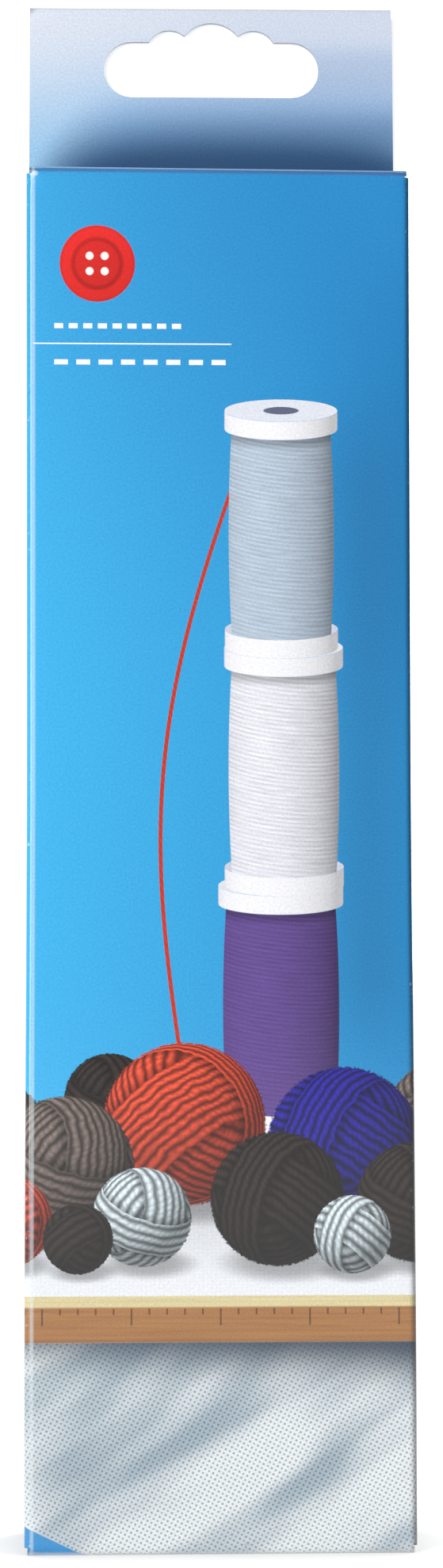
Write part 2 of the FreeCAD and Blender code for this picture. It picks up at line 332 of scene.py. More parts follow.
# %% The hang slot
SLOT_WIDTH, SLOT_HEIGHT, SLOT_MARGIN = 31.75, 8.2, 5.0
SLOT_TOP = TAB_TOP - SLOT_MARGIN
HOOK_RADIUS, HOOK_RISE = 5.0, 2.85
SIDE_RADIUS, SIDE_RISE, SIDE_OFFSET = 3.4, 1.76, 6.2


def slot_loop():
    """The slot's edge as (x, z) places, anticlockwise from its right end."""
    end = SLOT_HEIGHT / 2
    straight = SLOT_WIDTH / 2 - end
    middle = SLOT_TOP - end
    hook = Vector((0, SLOT_TOP + HOOK_RISE - HOOK_RADIUS))
    side = Vector((SIDE_OFFSET, SLOT_TOP + SIDE_RISE - SIDE_RADIUS))
    apart = (side - hook).length
    along = (apart ** 2 + HOOK_RADIUS ** 2 - SIDE_RADIUS ** 2) / (2 * apart)
    across = math.sqrt(HOOK_RADIUS ** 2 - along ** 2)
    direction = (side - hook) / apart
    meet = hook + direction * along + Vector((-direction.y, direction.x)) * across

    def bearing(centre, place):
        return math.degrees(math.atan2(place.y - centre.y, place.x - centre.x))

    out_angle = math.degrees(math.asin((SLOT_TOP - side.y) / SIDE_RADIUS))
    right_round = arc(side.x, side.y, SIDE_RADIUS, out_angle, bearing(side, meet), 9)
    top_round = arc(hook.x, hook.y, HOOK_RADIUS, bearing(hook, meet), 180 - bearing(hook, meet), 14)
    left_round = [(-x, z) for x, z in reversed(right_round)]
    right_end = arc(straight, middle, end, -90, 90, 14)
    left_end = arc(-straight, middle, end, 90, 270, 14)
    return right_end + right_round + top_round[1:-1] + left_round + left_end


fold_line = TAB_CREASE + TAB_TURN / 2
slot = slot_loop()
back_slot = [(TAB_MIDDLE - x, z) for x, z in slot]
front_slot = [(u, 2 * fold_line - v) for u, v in back_slot]
print("the slot's edge has", len(slot), "places")

# %% [markdown]
# A lid is the same board, but it swings, so it is a sheet of its own. It starts a little below
# the crease on the front panel, so that the whole crease belongs to it. Behind its rear crease
# comes the tuck tongue, with a slit at each end of that crease.

# %% The outline of a lid
TONGUE_TURN = 105.0
TONGUE, TONGUE_SLIT, TONGUE_INSET, TONGUE_ROUND = 12.0, 5.0, 1.0, 5.0
lid_rear = lid_high.y - CREASE
LID_START = LID_CREASE + QUARTER
REAR_CREASE = LID_START + lid_rear - body_low.y - CREASE
TONGUE_START = REAR_CREASE + CREASE * math.radians(TONGUE_TURN)
TONGUE_TIP = TONGUE_START + TONGUE - CREASE * math.tan(math.radians(TONGUE_TURN / 2))
TONGUE_HALF = LID_HALF - TONGUE_INSET


def lid_edge():
    """The lid's outline, anticlockwise from the front panel's left corner."""
    root = (TONGUE_HALF, TONGUE_START)
    corner = (TONGUE_HALF, TONGUE_TIP)
    right = [(FRONT, LID_SPLIT), (FRONT, WALL_TOP + CUT), (LID_HALF, WALL_TOP + CUT),
             (LID_HALF, REAR_CREASE), (LID_HALF - TONGUE_SLIT, REAR_CREASE),
             (LID_HALF - TONGUE_SLIT, TONGUE_START), root]
    right += rounded(root, corner, (0, TONGUE_TIP), TONGUE_ROUND, 10)
    return right + [(-u, v) for u, v in reversed(right)]


print("the lid's rear crease lies at y %.3f mm" % lid_rear)

# %% [markdown]
# ## From outline to sheet
#
# The sheet needs an even net of points, so that it can bend and bow, and close rows of points
# across each crease, so that the bend is round. A constrained Delaunay triangulation joins them
# all and keeps the outline's edges. What falls outside the outline or in a hole is left out.

# %% Points along a loop and over the net
NET = 2.2
CREASE_ROWS = 9


def subdivided(loop, longest=NET):
    """The loop with points added, so that no side is longer than the net's mesh."""
    points = []
    for (u0, v0), (u1, v1) in zip(loop, loop[1:] + loop[:1]):
        parts = max(1, math.ceil(math.hypot(u1 - u0, v1 - v0) / longest))
        points += [(u0 + (u1 - u0) * i / parts, v0 + (v1 - v0) * i / parts) for i in range(parts)]
    return points


def inside(loop, u, v):
    """Whether the place lies inside the loop, by counting the edges to its right."""
    odd = False
    for (u0, v0), (u1, v1) in zip(loop, loop[1:] + loop[:1]):
        if (v0 > v) != (v1 > v) and u < u0 + (v - v0) * (u1 - u0) / (v1 - v0):
            odd = not odd
    return odd


def spread(start, end, step):
    """Evenly spaced values from start to end, no further apart than step."""
    parts = max(1, math.ceil((end - start) / step - 1e-6))
    return [start + (end - start) * i / parts for i in range(parts + 1)]


def rows(breaks, creases):
    """Row places over a whole side: fine across each crease and net-wide between the breaks."""
    values = set()
    for start, end in zip(breaks, breaks[1:]):
        fine = any(abs(start - low) < 1e-6 for low in creases)
        step = (end - start) / CREASE_ROWS if fine else NET
        values.update(round(v, 5) for v in spread(start, end, step))
    return sorted(values)


# %% [markdown]
# A sheet is made of its outline's points and the net's. A point that no kept triangle uses is
# taken out again, so nothing loose is folded along.

# %% A flat sheet from its outline
def flat_sheet(name, outline, holes, u_rows, v_rows):
    """A mesh of the flat sheet, print side up, with its places in millimetres."""
    loops = [subdivided(loop) for loop in [outline] + holes]
    points, edges = [], []
    for loop in loops:
        first = len(points)
        points += loop
        edges += [(first + i, first + (i + 1) % len(loop)) for i in range(len(loop))]
    taken = {(round(u, 2), round(v, 2)) for u, v in points}
    for u in u_rows:
        for v in v_rows:
            if (round(u, 2), round(v, 2)) not in taken:
                points.append((u, v))
    made = delaunay_2d_cdt([Vector(p) for p in points], edges, [], 0, 1e-5)
    places, faces = made[0], made[2]
    kept = []
    for face in faces:
        u = sum(places[i].x for i in face) / len(face)
        v = sum(places[i].y for i in face) / len(face)
        if inside(outline, u, v) and not any(inside(hole, u, v) for hole in holes):
            kept.append(list(face))
    mesh = bpy.data.meshes.new(name)
    mesh.from_pydata([(p.x, p.y, 0.0) for p in places], [], kept)
    tidy = bmesh.new()
    tidy.from_mesh(mesh)
    bmesh.ops.delete(tidy, geom=[v for v in tidy.verts if not v.link_faces], context="VERTS")
    tidy.to_mesh(mesh)
    tidy.free()
    print(name, len(mesh.vertices), "points", len(mesh.polygons), "triangles")
    return mesh


# %% [markdown]
# The print is large, and a shader that holds all of it is slow. So the front is printed from
# several plates, as a big poster is. Each plate is a material of its own, which draws only the
# motifs that lie on it. The plates' borders are rows of the net, so no triangle crosses one.

# %% Printing plates and the three flat sheets
SIDE_LEFT, SIDE_RIGHT = -BACK_START + 2.0, BACK_START - 2.0
SPLIT_LEFT, SPLIT_MIDDLE, SPLIT_RIGHT = -12.0, -1.0, 7.0
BELOW_ALL, HEM, HEAP_TOP = -30.0, 36.4, 73.0

# Each plate's box on the blank: u from, u to, v from, v to.
PLATES = {
    "upper_left": (-RIGHT_START, SPLIT_MIDDLE, HEAP_TOP, LID_CREASE),
    "upper_right": (SPLIT_MIDDLE, RIGHT_START, HEAP_TOP, LID_CREASE),
    "heap_left": (SIDE_LEFT, SPLIT_LEFT, HEM, HEAP_TOP),
    "heap_middle": (SPLIT_LEFT, SPLIT_RIGHT, HEM, HEAP_TOP),
    "heap_right": (SPLIT_RIGHT, SIDE_RIGHT, HEM, HEAP_TOP),
    "hem": (SIDE_LEFT, SIDE_RIGHT, BELOW_ALL, HEM)}

PAST_BACK = 0.8
body_u = rows([-GLUE_END, -GLUE_START, -LEFT_END, -RIGHT_START, -FRONT, SPLIT_LEFT, SPLIT_MIDDLE,
               SPLIT_RIGHT, FRONT, RIGHT_START, RIGHT_END, BACK_START, BACK_END + PAST_BACK],
              [-GLUE_START, -RIGHT_START, FRONT, RIGHT_END])
body_v = rows([HEIGHT - DUST_TIP, HEIGHT - DUST_ROOT, HEIGHT - DUST_CREASE, HEM, HEAP_TOP,
               DUST_CREASE, DUST_ROOT, TAB_CREASE, TAB_CREASE + TAB_TURN, TAB_END],
              [HEIGHT - DUST_ROOT, DUST_CREASE, TAB_CREASE])
carton_blank = flat_sheet("carton_blank", carton_outline, [back_slot, front_slot], body_u, body_v)

lid_u = rows([-LID_HALF, LID_HALF], [])
lid_v = rows([LID_SPLIT, LID_CREASE, LID_START, REAR_CREASE, TONGUE_START, TONGUE_TIP],
             [LID_CREASE, REAR_CREASE])
top_blank = flat_sheet("top_lid_blank", lid_edge(), [], lid_u, lid_v)
bottom_blank = flat_sheet("bottom_lid_blank", [(u, HEIGHT - v) for u, v in reversed(lid_edge())], [],
                          lid_u, [HEIGHT - v for v in lid_v])

# %% [markdown]
# ## Folding with Geometry Nodes
#
# A fold follows one rule. Past the crease's start the sheet is slid back by what the bend uses up,
# and turned about the bend's centre, which lies one radius inside the print face. Within the bend
# the share of slide and turn grows from 0 to 1. One node group holds that rule. It reads the flat
# places from an attribute, so the folds can follow one another, from the outermost crease inwards.

# %% Starting a Geometry Nodes tree
PLACE = "blank"


def new_tree(name, sockets):
    """A Geometry Nodes tree with a geometry in and out, and the named inputs given."""
    tree = bpy.data.node_groups.new(name, "GeometryNodeTree")
    tree.interface.new_socket("Geometry", in_out="INPUT", socket_type="NodeSocketGeometry")
    for label, kind, value in sockets:
        socket = tree.interface.new_socket(label, in_out="INPUT", socket_type=kind)
        if value is not None:
            socket.default_value = value
    tree.interface.new_socket("Geometry", in_out="OUTPUT", socket_type="NodeSocketGeometry")
    nodes = Nodes(tree)
    given = nodes.add("NodeGroupInput")
    return tree, nodes, given


def flat_place(nodes):
    return nodes.add("GeometryNodeInputNamedAttribute", {"Name": PLACE}, data_type="FLOAT_VECTOR")


# %% [markdown]
# The group's inputs describe the crease: which way along the sheet it folds, where it starts, how
# far it turns and how tightly. Low and High keep the fold to one flap. Beyond Stiff from, the sheet
# turns whole and without a round, because there the hang tab is cut free of the side wall.

# %% The node group for one fold
def make_fold_group():
    """Bends what lies past a crease, where the place across the fold is between Low and High."""
    tree, nodes, given = new_tree("fold_over_a_crease", [
        ("Along", "NodeSocketVector", (1.0, 0.0, 0.0)), ("Start", "NodeSocketFloat", 0.0),
        ("Turn", "NodeSocketFloat", math.pi / 2), ("Radius", "NodeSocketFloat", 1.0),
        ("Low", "NodeSocketFloat", -1000.0), ("High", "NodeSocketFloat", 1000.0),
        ("Stiff from", "NodeSocketFloat", 1000.0)])
    along, start, turn, radius = (given.other(n) for n in ("Along", "Start", "Turn", "Radius"))
    flat = flat_place(nodes)
    up = nodes.combine(Z=1.0)
    axis = nodes.vector("CROSS_PRODUCT", up, along)
    past = nodes.vector("DOT_PRODUCT", flat, along) - start
    across = nodes.vector("DOT_PRODUCT", flat, nodes.vector("ABSOLUTE", axis))
    bend = turn * radius
    share = (past / bend).capped().maths("MAXIMUM", across > given.other("Stiff from"))
    slide = nodes.scaled(along, bend * share)
    place = nodes.vector("SUBTRACT", nodes.add("GeometryNodeInputPosition"), slide)
    line = nodes.scaled(along, start)
    depth = nodes.combine(Z=radius)
    turned = nodes.add("ShaderNodeVectorRotate", {
        "Vector": place, "Center": nodes.vector("SUBTRACT", line, depth), "Axis": axis,
        "Angle": share * turn}, rotation_type="AXIS_ANGLE")
    chosen = (past > 1e-5) * (across > given.other("Low")) * (across < given.other("High"))
    moved = nodes.add("GeometryNodeSetPosition", {
        "Geometry": given, "Selection": chosen, "Position": turned})
    nodes.add("NodeGroupOutput", {"Geometry": moved})
    return tree


fold_group = make_fold_group()
print("the fold group has", len(fold_group.nodes), "nodes")

# %% [markdown]
# The whole tree gives the sheet its thickness first: the faces are extruded inwards and flipped,
# and the print side is joined on again, which closes the slab. Then come the folds. At the end
# the carton is stood up in the frame, and its panels get the slight dish of real board, the small
# slope of the lid's crease, and the upper end's slightly narrower stand.

# %% Settling in the frame
TOP_WIDTH = 54.2
DISH, SIDE_SHARE = 0.3, 0.7
LID_SLOPE = 0.0077
SIZES_IN = [("Board", "NodeSocketFloat", BOARD), ("Dish", "NodeSocketFloat", DISH),
            ("Squeeze", "NodeSocketFloat", (WIDTH - TOP_WIDTH) / 2),
            ("Lid slope", "NodeSocketFloat", LID_SLOPE)]


def settle(nodes, given):
    """Where each point of the upright carton comes to lie, in millimetres."""
    x, y, z = nodes.split(nodes.add("GeometryNodeInputPosition"))
    middle = 1 - (z * (2 / HEIGHT) - 1) ** 2
    window = middle.capped() * middle.capped().root()
    across, deep = x * (2 / WIDTH), y * (2 / DEPTH)
    dish = given.other("Dish")
    front = y - deep * dish * window * (1 - across * across).capped()
    side = x - across * dish * window * (1 - deep * deep).capped() * SIDE_SHARE
    squeezed = side - across ** 3 * abs(across) * given.other("Squeeze") * z.step(20.0, 120.0)
    tilt = given.other("Lid slope") * x * z.step(160.0, 194.0) * (1 - y.step(2.0, 12.0))
    return nodes.combine(X=squeezed, Y=front, Z=z - tilt)


# %% [markdown]
# The tree has an input for each size and each finish. Its last steps give every face its finish:
# a plate by its box on the blank, the inside and the cut edge by what the extrusion made.

# %% The tree that folds a sheet
def make_fold_tree(name, creases):
    """The folding tree for one sheet; creases holds the fold group's inputs, outermost first."""
    labels = ["Print"] + list(PLATES) + ["Inside", "Cut edge"]
    materials = [(label, "NodeSocketMaterial", None) for label in labels]
    tree, nodes, given = new_tree(name, SIZES_IN + materials)
    down = nodes.combine(Z=given.other("Board") * -1)
    slab = nodes.add("GeometryNodeExtrudeMesh", {
        "Mesh": given, "Offset": down, "Individual": False}, mode="FACES")
    inner, cut = slab.other("Top"), slab.other("Side")
    flipped = nodes.add("GeometryNodeFlipFaces", {"Mesh": slab})
    joined = nodes.add("GeometryNodeJoinGeometry")
    for part in (given, flipped):
        tree.links.new(part.output, joined.output.node.inputs[0])
    closed = nodes.add("GeometryNodeMergeByDistance", {"Geometry": joined, "Distance": 1e-4})
    shape = nodes.add("GeometryNodeStoreNamedAttribute", {
        "Geometry": closed, "Name": PLACE, "Value": nodes.add("GeometryNodeInputPosition")},
        data_type="FLOAT_VECTOR")
    for crease in creases:
        shape = nodes.add("GeometryNodeGroup", {"Geometry": shape, **crease}, node_tree=fold_group)
    upright = nodes.add("GeometryNodeTransform", {
        "Geometry": shape, "Translation": (0.0, -DEPTH / 2, 0.0), "Rotation": (math.pi / 2, 0.0, 0.0)})
    settled = nodes.add("GeometryNodeSetPosition", {
        "Geometry": upright, "Position": settle(nodes, given)})
    metres = nodes.add("GeometryNodeTransform", {"Geometry": settled, "Scale": (MM, MM, MM)})
    real = nodes.add("GeometryNodeRealizeInstances", {"Geometry": metres})
    finished = nodes.add("GeometryNodeSetMaterial", {
        "Geometry": real, "Material": given.other("Print")})
    across, up = nodes.split(flat_place(nodes))[:2]
    areas = [((across > left) * (across < right) * (up > low) * (up < high), label)
             for label, (left, right, low, high) in PLATES.items()]
    for faces, label in areas + [(inner, "Inside"), (cut, "Cut edge")]:
        finished = nodes.add("GeometryNodeSetMaterial", {
            "Geometry": finished, "Selection": faces, "Material": given.other(label)})
    nodes.add("NodeGroupOutput", {"Geometry": finished})
    return tree


# %% [markdown]
# Each sheet has its list of creases. The outermost comes first, because a fold moves everything
# past its line, also what has been folded before.

# %% The creases of each sheet
def crease(along, start, turn=90.0, radius=CREASE, low=-1000.0, high=1000.0, stiff=1000.0):
    return {"Along": along, "Start": start, "Turn": math.radians(turn), "Radius": radius,
            "Low": low, "High": high, "Stiff from": stiff}


RIGHT, LEFT, UP, DOWN = (1.0, 0.0, 0.0), (-1.0, 0.0, 0.0), (0.0, 1.0, 0.0), (0.0, -1.0, 0.0)
half_cut = CUT / 2
carton_creases = [crease(UP, TAB_CREASE, 180.0, TAB_FOLD)]
for near, far in ((RIGHT_START + DUST_FRONT, RIGHT_START + DUST_REAR),
                  (-RIGHT_START - DUST_REAR, -RIGHT_START - DUST_FRONT)):
    flap = {"low": near - half_cut, "high": far + half_cut}
    carton_creases += [crease(UP, DUST_CREASE, **flap), crease(DOWN, DUST_CREASE - HEIGHT, **flap)]
carton_creases += [crease(LEFT, LEFT_END), crease(RIGHT, RIGHT_END, stiff=WALL_TOP + half_cut),
                   crease(LEFT, FRONT), crease(RIGHT, FRONT)]
top_creases = [crease(UP, REAR_CREASE, TONGUE_TURN), crease(UP, LID_CREASE)]
bottom_creases = [crease(DOWN, REAR_CREASE - HEIGHT, TONGUE_TURN), crease(DOWN, LID_CREASE - HEIGHT)]
print("folds in the carton:", len(carton_creases), "and in each lid:", len(top_creases))

# %% [markdown]
# ## Inks and the place on the sheet
#
# A printer thinks of colours as an ink chart gives them, so rgb() takes those numbers and makes
# them linear for the shader. Every mask in the artwork is a formula on the blank's u and v, read
# from the attribute that was stored before folding.

# %% Ink colours and material helpers
def rgb(red, green, blue):
    """A colour of the ink chart, 0 to 255 a channel, as the linear colour that a shader wants."""
    def linear(c):
        return c / 3294.6 if c <= 10.3 else ((c / 255 + 0.055) / 1.055) ** 2.4
    return (linear(red), linear(green), linear(blue), 1.0)


def new_material(name):
    material = bpy.data.materials.new(name)
    material.use_nodes = True
    material.node_tree.nodes.clear()
    return material, Nodes(material.node_tree)


def blank_place(nodes):
    """The place on the flat blank in millimetres: as a vector, across, up, and into the board."""
    flat = nodes.add("ShaderNodeAttribute", attribute_type="GEOMETRY", attribute_name=PLACE)
    place = flat.other("Vector")
    return (place,) + nodes.split(place)


print("the chart's sky blue is", [round(part, 3) for part in rgb(66, 184, 241)])

# %% [markdown]
# ## The printed ground
#
# The front is a clear sky blue, a little deeper towards the right and on the right side wall. That
# deepening is partly print and partly painted shade, for the light falling off towards the right.
# The back is plain. On the front of the hang tab the print runs from a pale grey-blue down to a
# steel blue, whose edge dips at the left end: the steel blue is a painted shadow of the carton's
# body and lid, and the paling towards the top is partly a painted sheen. A lid's crease gets a
# band of painted shade where it turns up, and above it a light line where the lid begins, partly
# wear and partly a painted highlight.

# %% Blue ground, tab and lid crease
GRADIENT_HALF = 27.0
TAB_HEIGHT = TAB_TOP - HEIGHT


def print_sky(nodes, u, v):
    across = ((u + GRADIENT_HALF) / (2 * GRADIENT_HALF)).capped()
    # Partly print and partly painted shade: the blue deepens from left to right, as the key light on
    # the left falls off.
    sky = nodes.mix(across, rgb(66, 184, 241), rgb(38, 143, 204))
    sky = nodes.mix(v.step(110.0, 200.0) * (across * 0.8 + 0.42), sky, rgb(40, 140, 203))
    deep = u.step(6.0, 30.0) * v.between(124.0, 178.0, 18.0)
    sky = nodes.mix(deep * 0.45, sky, rgb(10, 110, 172))
    # Painted shade: the deeper blue over the right crease and on the right side wall stands for the
    # side that turns away from the key light.
    return nodes.mix(u.step(FRONT, FRONT + 1.3) * 0.8, sky, rgb(28, 112, 174))


def print_tab(nodes, u, v):
    """The tab's front ply. It is the blank's far end, so up and right are turned round there."""
    # Painted shadow and sheen: the steel blue at the foot stands for the shade that the carton's body
    # and lid throw on the tab, and a band above it is painted darker towards the right. The shadow's
    # edge dips at the left end, where the light passes beside the side wall, and the foot is painted
    # lighter at the left. The pale part above is print, paling towards the top partly as a painted
    # sheen.
    rise = (TAB_END - v) / TAB_HEIGHT
    from_left = (TAB_MIDDLE + TAB_BASE - u) / (2 * TAB_BASE)
    painted_light_powder = nodes.mix(from_left.step(0.05, 0.3), rgb(158, 204, 238), rgb(140, 196, 240))
    pale = nodes.mix(rise.step(0.1, 0.95), painted_light_powder, rgb(222, 228, 240))
    painted_dusk_shade = from_left.step(0.1, 0.9) * (rise.between(0.54, 0.76, 0.08) * 0.5 + 0.2)
    pale = nodes.mix(painted_dusk_shade, pale, rgb(170, 190, 221))
    right_end = ((from_left - 1) * 8.3).maths("EXPONENT") * 0.12 * (1 - rise.step(0.22, 0.42))
    # This places the painted shadow's edge: it rises at the left end and a little at the right end.
    reach = rise + (from_left * -8.3).maths("EXPONENT") * 0.5 + right_end
    painted_shadow_steel = nodes.mix(rise.step(0.15, 0.6), rgb(46, 84, 124), rgb(110, 150, 196))
    return nodes.mix(reach.step(0.20, 0.68), painted_shadow_steel, pale)


def print_ground(nodes, u, v):
    on_back = u.step(BACK_START - 1.0, BACK_START - 0.9)
    sky = nodes.mix(on_back, print_sky(nodes, u, v), rgb(86, 170, 224))
    front_ply = v.step(fold_line - 0.2, fold_line + 0.2) * on_back
    ground = nodes.mix(front_ply, sky, print_tab(nodes, u, v))
    # Painted shade and highlight on the lid's crease: the band that turns up, away from the key light,
    # is painted darker, and the light line where the lid begins is partly wear and partly a painted
    # highlight.
    bend = v - LID_CREASE
    painted_crease_shade = nodes.mix(0.55, nodes.scaled(ground, 0.62), rgb(84, 124, 186))
    ground = nodes.mix(bend.between(0.05, 0.62, 0.1), ground, painted_crease_shade)
    return nodes.mix(bend.between(0.68, 1.3, 0.06) * 0.5, ground, rgb(196, 222, 255))


print("the tab's print is %.1f mm high" % TAB_HEIGHT)

# %% [markdown]
# ## Thread reels
#
# Each reel stands upright and is seen a little from above, so its bands sag in the middle. Adding
# the sag to v turns the curved bands into level ones, and each part is then a plain range of that
# height. The light falls from the left, so the shade follows the barrel's roundness.

# %% A printed thread reel
RIM, SAG, STRAND = 2.6, 1.6, 0.62


def print_reel(nodes, under, u, v, middle, foot, half, height, thread):
    t = (u - middle) / half
    hoop = (1 - t * t).root()
    level = v - foot + hoop * SAG
    light = (hoop * 0.80 - t * 0.42).capped() * 0.72 + 0.36
    rims = abs(t).between(-1.0, 1.0, 0.012)
    plastic = nodes.scaled(rgb(250, 250, 255), light.maths("MINIMUM", 1.0) ** 0.6)
    flanges = level.between(0.0, RIM, 0.08) + level.between(height - RIM, height, 0.08)
    colour = nodes.mix(rims * flanges, under, plastic)
    ledge = (hoop - abs((v - foot - RIM) / SAG)).step(-0.02, 0.04) * rims
    colour = nodes.mix(ledge, colour, rgb(206, 210, 224))
    lean = level + t * 0.9
    windings = (lean * (2 * math.pi / STRAND)).sine() * 0.09 + 0.94
    fibres = nodes.noise(nodes.combine(X=u * 0.25, Y=lean * 3.0), 1.0)
    strand = windings * (fibres * 0.5 + 0.76)
    under_rim = 1 - (level - (height - 4.4)).step(0.0, 1.6) * 0.45
    yarn = nodes.scaled(thread, light * strand * under_rim)
    swell = 0.86 + (1 - (level * (2 / height) - 1) ** 2).capped() * 0.07
    wound = (swell - abs(t)).step(-0.008, 0.008) * level.between(RIM, height - RIM, 0.08)
    colour = nodes.mix(wound, colour, yarn)
    from_top = abs((v - foot - height) / SAG)
    top_face = (hoop - from_top).step(-0.02, 0.04) * rims
    colour = nodes.mix(top_face, colour, rgb(226, 230, 240))
    bore = (t * 3.2) ** 2 + (from_top * 3.0) ** 2
    return nodes.mix(1 - bore.step(0.9, 1.1), colour, rgb(96, 104, 130))


print("a reel's strands lie %.2f mm apart" % STRAND)

# %% [markdown]
# ## Yarn balls
#
# A ball is drawn on a sphere's normal, worked out from the distance to its middle. A wrap of yarn
# is a belt about one axis, and its strands are lines of the same height along that axis. Three
# belts over one another make the ball. One node group draws any ball.

# %% The node group for a yarn ball
# Each wrap's axis, a direction across its strands for their twist, and the belt's half width.
BELTS = [((0.15, -0.35, 0.92), (0.9, 0.4, 0.0), 9.0),
         ((-0.55, 0.78, 0.30), (0.8, 0.6, 0.0), 0.50),
         ((0.74, 0.60, 0.30), (-0.6, 0.75, 0.2), 0.36)]
YARN_PITCH = 1.3


def make_ball_group():
    tree = bpy.data.node_groups.new("yarn_ball", "ShaderNodeTree")
    for label, kind in (("Under", "Color"), ("Place", "Vector"), ("Middle", "Vector"),
                        ("Radius", "Float"), ("Yarn", "Color"), ("Turn", "Float"),
                        ("Waver", "Vector"), ("Fuzz", "Float")):
        tree.interface.new_socket(label, in_out="INPUT", socket_type="NodeSocket" + kind)
    tree.interface.new_socket("Colour", in_out="OUTPUT", socket_type="NodeSocketColor")
    nodes = Nodes(tree)
    given = nodes.add("NodeGroupInput")
    place, radius = given.other("Place"), given.other("Radius")
    from_middle = nodes.vector("SUBTRACT", place, given.other("Middle"))
    x, y = (part / radius for part in nodes.split(from_middle)[:2])
    reach = x * x + y * y
    normal = nodes.combine(X=x, Y=y, Z=(1 - reach).root())
    light = nodes.vector("DOT_PRODUCT", normal, (-0.42, 0.62, 0.66)).capped() * 0.80 + 0.30
    turned = nodes.add("ShaderNodeVectorRotate", {
        "Vector": normal, "Axis": (0.35, 0.25, 0.9), "Angle": given.other("Turn")},
        rotation_type="AXIS_ANGLE")
    bent = nodes.vector("ADD", turned, given.other("Waver"))
    count = radius * (2 * math.pi / YARN_PITCH)
    relief = shadow = None
    for axis, cross, wide in BELTS:
        along = nodes.vector("DOT_PRODUCT", bent, axis) - 0.08
        phase = along * count
        twist = ((nodes.vector("DOT_PRODUCT", bent, cross) + along * 0.6) * count * 1.5).cosine()
        strand = (phase.cosine() * 0.5 + 0.5) * (twist * 0.16 + 0.84)
        if relief is None:
            relief, shadow = strand, 1.0
        else:
            belt = 1 - (abs(along) - wide).step(-0.01, 0.01)
            relief = relief + (strand - relief) * belt
            rim = (abs(along) - wide).step(0.0, 0.16) * 0.5 + 0.5
            shadow = (rim * shadow).maths("MAXIMUM", belt)
    fuzz = given.other("Fuzz")
    lit = (relief ** 0.9 * 0.95 + 0.22) * shadow * light * (fuzz * 0.7 + 0.72)
    yarn = nodes.scaled(given.other("Yarn"), lit)
    solid = 1 - (reach + (fuzz - 0.5) * 0.16).step(0.95, 1.01)
    cast = 1 - ((x - 0.12) * (x - 0.12) + ((y + 0.93) * 3.2) ** 2).step(0.1, 1.3)
    shaded = nodes.scaled(given, 1 - cast * 0.55)
    nodes.add("NodeGroupOutput", {"Colour": nodes.mix(solid, shaded, yarn)})
    return tree


ball_group = make_ball_group()
print("the ball group has", len(ball_group.nodes), "nodes")

# %% [markdown]
# The heap is drawn from back to front. It runs over the front creases on to the side walls, so
# some balls lie across a crease. All balls on a plate share two noises: one lets their strands
# waver, the other roughens them.

# %% The heap of yarn
ORANGE, NAVY, BROWN = rgb(232, 84, 56), rgb(42, 36, 162), rgb(52, 43, 39)
GREY_BROWN, PALE_GREY = rgb(128, 114, 108), rgb(222, 236, 242)

# Each ball's middle, as u and v, its radius and its yarn.
HEAP = [(-33, 57, 9.5, BROWN), (32, 60, 9.0, GREY_BROWN), (-15.5, 63.5, 6.5, BROWN),
        (17.5, 57, 11.0, NAVY), (-5, 60, 11.5, ORANGE), (-22, 54, 10.0, GREY_BROWN),
        (-41, 49, 8.5, NAVY), (40, 51, 9.0, ORANGE), (27.5, 49, 8.5, BROWN),
        (8, 49.5, 9.5, BROWN), (-30, 46.5, 6.5, ORANGE), (-11, 47, 7.0, PALE_GREY),
        (18.5, 44.5, 5.5, PALE_GREY), (-20, 44, 5.0, BROWN)]


def wool_noises(nodes, place):
    waver = nodes.scaled(nodes.noise(place, 0.45, 1.0).other("Color"), 0.10)
    return {"Place": place, "Waver": waver, "Fuzz": nodes.noise(place, 2.6, 2.0)}


def print_ball(nodes, under, u, v, number):
    middle, height, radius, yarn = HEAP[number]
    ball = {"Under": under, "Middle": (middle, height, 0.0), "Radius": radius, "Yarn": yarn,
            "Turn": 1.3 + 2.1 * number}
    return nodes.add("ShaderNodeGroup", {**ball, **nodes.wool}, node_tree=ball_group)


print("the heap has", len(HEAP), "balls")

# %% [markdown]
# ## Cloth, ruler and stitches
#
# The heap stands on white linen behind a wooden ruler, and an open-weave canvas hangs in front.
# The linen's weave is the product of two sines. The ruler's grain is noise drawn out along it, and
# its ticks are the fractions of a division, with every fifth one longer.

# %% Linen and ruler
RULER_FOOT, RULER_TOP, STRIP_FOOT = 29.5, 36.0, 34.3


def print_linen(nodes, under, u, v):
    weave = ((u * 0.8 + v) * 6.4).sine() * ((u * 0.8 - v) * 6.4).sine()
    shade = v.step(36.0, 49.0) * -0.22 + 0.98
    linen = nodes.scaled(rgb(242, 245, 250), shade + weave * 0.035)
    edge = v + nodes.noise(nodes.combine(X=u * 0.06), 1.0) * 5.0
    return nodes.mix(1 - edge.step(51.4, 51.8), under, linen)


def print_ruler(nodes, under, u, v):
    grain_place = nodes.combine(X=u * 0.05, Y=v * 2.2)
    grain = nodes.noise(grain_place, 1.0, 4.0)
    wood = nodes.mix(grain, rgb(146, 94, 50), rgb(190, 138, 84))
    strip = nodes.mix(grain, rgb(206, 190, 136), rgb(238, 226, 180))
    wood = nodes.mix(v.step(STRIP_FOOT, STRIP_FOOT + 0.3), wood, strip)
    wood = nodes.scaled(wood, v.step(29.0, 30.4) * 0.3 + 0.7)
    share = (u * (1 / 2.5) + 100).maths("FRACT")
    long_one = (u * (1 / 12.5) + 20.08).maths("FRACT") < 0.16
    foot = 33.4 - long_one * 1.5
    upright = (v - foot).step(-0.05, 0.05) * (1 - v.step(STRIP_FOOT - 0.1, STRIP_FOOT))
    tick = abs(share - 0.5).step(0.44, 0.46) * upright
    wood = nodes.mix(tick * 0.75, wood, rgb(70, 42, 26))
    return nodes.mix(v.between(RULER_FOOT, RULER_TOP, 0.08), under, wood)


